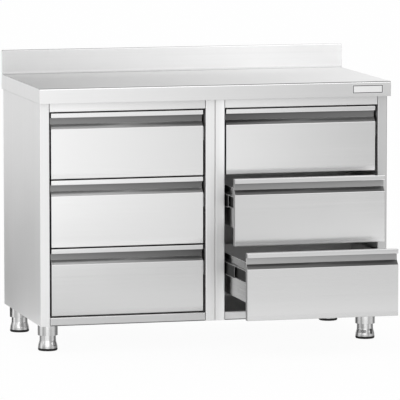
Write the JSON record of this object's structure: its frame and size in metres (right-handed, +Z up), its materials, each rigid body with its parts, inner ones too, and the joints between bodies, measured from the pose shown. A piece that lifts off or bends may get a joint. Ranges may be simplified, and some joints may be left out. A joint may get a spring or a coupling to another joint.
{
  "type": "drawer cabinet",
  "caption": "Stainless steel catering cabinet with drawers in two columns on telescopic runners, a worktop with a rear upstand, and adjustable feet.",
  "frame": {"origin": "on the floor, under the middle of the whole outline with the drawers as they stand at rest", "axes": "+X along the width, to the right seen from the front; +Y to the rear; +Z up; the drawers open towards -Y"},
  "size_m": [1.2, 0.838, 0.962],
  "materials": {
    "stainless_steel": "satin",
    "polished_steel": "polished",
    "zinc_plated_steel": "satin",
    "plate_steel": "satin",
    "board": "matte",
    "rubber": "matte"
  },
  "bodies": {
    "carcass": {"worktop": "stainless_steel", "worktop_core": "board", "name_plate": "plate_steel", "side_panel_left": "stainless_steel", "side_panel_right": "stainless_steel", "partition_left": "stainless_steel", "partition_right": "stainless_steel", "back_panel": "stainless_steel", "leg_sleeves": "polished_steel", "runner_screws": "zinc_plated_steel", "bottom_panel_left": "stainless_steel", "bottom_panel_right": "stainless_steel", "top_rail_left": "stainless_steel", "top_rail_right": "stainless_steel", "runner_posts_left": "stainless_steel", "runner_posts_right": "stainless_steel", "cabinet_rails_left": "zinc_plated_steel", "cabinet_rails_right": "zinc_plated_steel"},
    "drawer_top_left": {"drawer_front_top_left": "stainless_steel", "drawer_liner_top_left": "stainless_steel", "drawer_box_top_left": "stainless_steel", "drawer_rails_top_left": "zinc_plated_steel"},
    "middle_rails_top_left": {"middle_rails_top_left": "zinc_plated_steel"},
    "drawer_middle_left": {"drawer_front_middle_left": "stainless_steel", "drawer_liner_middle_left": "stainless_steel", "drawer_box_middle_left": "stainless_steel", "drawer_rails_middle_left": "zinc_plated_steel"},
    "middle_rails_middle_left": {"middle_rails_middle_left": "zinc_plated_steel"},
    "drawer_bottom_left": {"drawer_front_bottom_left": "stainless_steel", "drawer_liner_bottom_left": "stainless_steel", "drawer_box_bottom_left": "stainless_steel", "drawer_rails_bottom_left": "zinc_plated_steel"},
    "middle_rails_bottom_left": {"middle_rails_bottom_left": "zinc_plated_steel"},
    "drawer_top_right": {"drawer_front_top_right": "stainless_steel", "drawer_liner_top_right": "stainless_steel", "drawer_box_top_right": "stainless_steel", "drawer_rails_top_right": "zinc_plated_steel"},
    "middle_rails_top_right": {"middle_rails_top_right": "zinc_plated_steel"},
    "drawer_middle_right": {"drawer_front_middle_right": "stainless_steel", "drawer_liner_middle_right": "stainless_steel", "drawer_box_middle_right": "stainless_steel", "drawer_rails_middle_right": "zinc_plated_steel"},
    "middle_rails_middle_right": {"middle_rails_middle_right": "zinc_plated_steel"},
    "drawer_bottom_right": {"drawer_front_bottom_right": "stainless_steel", "drawer_liner_bottom_right": "stainless_steel", "drawer_box_bottom_right": "stainless_steel", "drawer_rails_bottom_right": "zinc_plated_steel"},
    "middle_rails_bottom_right": {"middle_rails_bottom_right": "zinc_plated_steel"},
    "foot_front_left": {"foot_front_left": "polished_steel", "foot_pad_front_left": "rubber"},
    "foot_front_right": {"foot_front_right": "polished_steel", "foot_pad_front_right": "rubber"},
    "foot_rear_left": {"foot_rear_left": "polished_steel", "foot_pad_rear_left": "rubber"},
    "foot_rear_right": {"foot_rear_right": "polished_steel", "foot_pad_rear_right": "rubber"}
  },
  "joints": [
    {"name": "slide_top_left", "type": "slide", "parent": "carcass", "child": "drawer_top_left", "axis": [0, -1, 0], "range_m": [0, 0.5]},
    {"name": "middle_slide_top_left", "type": "slide", "parent": "carcass", "child": "middle_rails_top_left", "axis": [0, -1, 0], "range_m": [0, 0.25]},
    {"name": "slide_middle_left", "type": "slide", "parent": "carcass", "child": "drawer_middle_left", "axis": [0, -1, 0], "range_m": [0, 0.5]},
    {"name": "middle_slide_middle_left", "type": "slide", "parent": "carcass", "child": "middle_rails_middle_left", "axis": [0, -1, 0], "range_m": [0, 0.25]},
    {"name": "slide_bottom_left", "type": "slide", "parent": "carcass", "child": "drawer_bottom_left", "axis": [0, -1, 0], "range_m": [0, 0.5]},
    {"name": "middle_slide_bottom_left", "type": "slide", "parent": "carcass", "child": "middle_rails_bottom_left", "axis": [0, -1, 0], "range_m": [0, 0.25]},
    {"name": "slide_top_right", "type": "slide", "parent": "carcass", "child": "drawer_top_right", "axis": [0, -1, 0], "range_m": [0, 0.5]},
    {"name": "middle_slide_top_right", "type": "slide", "parent": "carcass", "child": "middle_rails_top_right", "axis": [0, -1, 0], "range_m": [0, 0.25]},
    {"name": "slide_middle_right", "type": "slide", "parent": "carcass", "child": "drawer_middle_right", "axis": [0, -1, 0], "range_m": [-0.114, 0.386]},
    {"name": "middle_slide_middle_right", "type": "slide", "parent": "carcass", "child": "middle_rails_middle_right", "axis": [0, -1, 0], "range_m": [-0.057, 0.193]},
    {"name": "slide_bottom_right", "type": "slide", "parent": "carcass", "child": "drawer_bottom_right", "axis": [0, -1, 0], "range_m": [-0.269, 0.231]},
    {"name": "middle_slide_bottom_right", "type": "slide", "parent": "carcass", "child": "middle_rails_bottom_right", "axis": [0, -1, 0], "range_m": [-0.1345, 0.1155]},
    {"name": "level_front_left", "type": "slide", "parent": "carcass", "child": "foot_front_left", "axis": [0, 0, 1], "range_m": [0, 0.02]},
    {"name": "level_front_right", "type": "slide", "parent": "carcass", "child": "foot_front_right", "axis": [0, 0, 1], "range_m": [0, 0.02]},
    {"name": "level_rear_left", "type": "slide", "parent": "carcass", "child": "foot_rear_left", "axis": [0, 0, 1], "range_m": [0, 0.02]},
    {"name": "level_rear_right", "type": "slide", "parent": "carcass", "child": "foot_rear_right", "axis": [0, 0, 1], "range_m": [0, 0.02]}
  ],
  "couplings": [
    {"joint": "middle_slide_top_left", "follows": "slide_top_left", "ratio": 0.5},
    {"joint": "middle_slide_middle_left", "follows": "slide_middle_left", "ratio": 0.5},
    {"joint": "middle_slide_bottom_left", "follows": "slide_bottom_left", "ratio": 0.5},
    {"joint": "middle_slide_top_right", "follows": "slide_top_right", "ratio": 0.5},
    {"joint": "middle_slide_middle_right", "follows": "slide_middle_right", "ratio": 0.5},
    {"joint": "middle_slide_bottom_right", "follows": "slide_bottom_right", "ratio": 0.5}
  ]
}
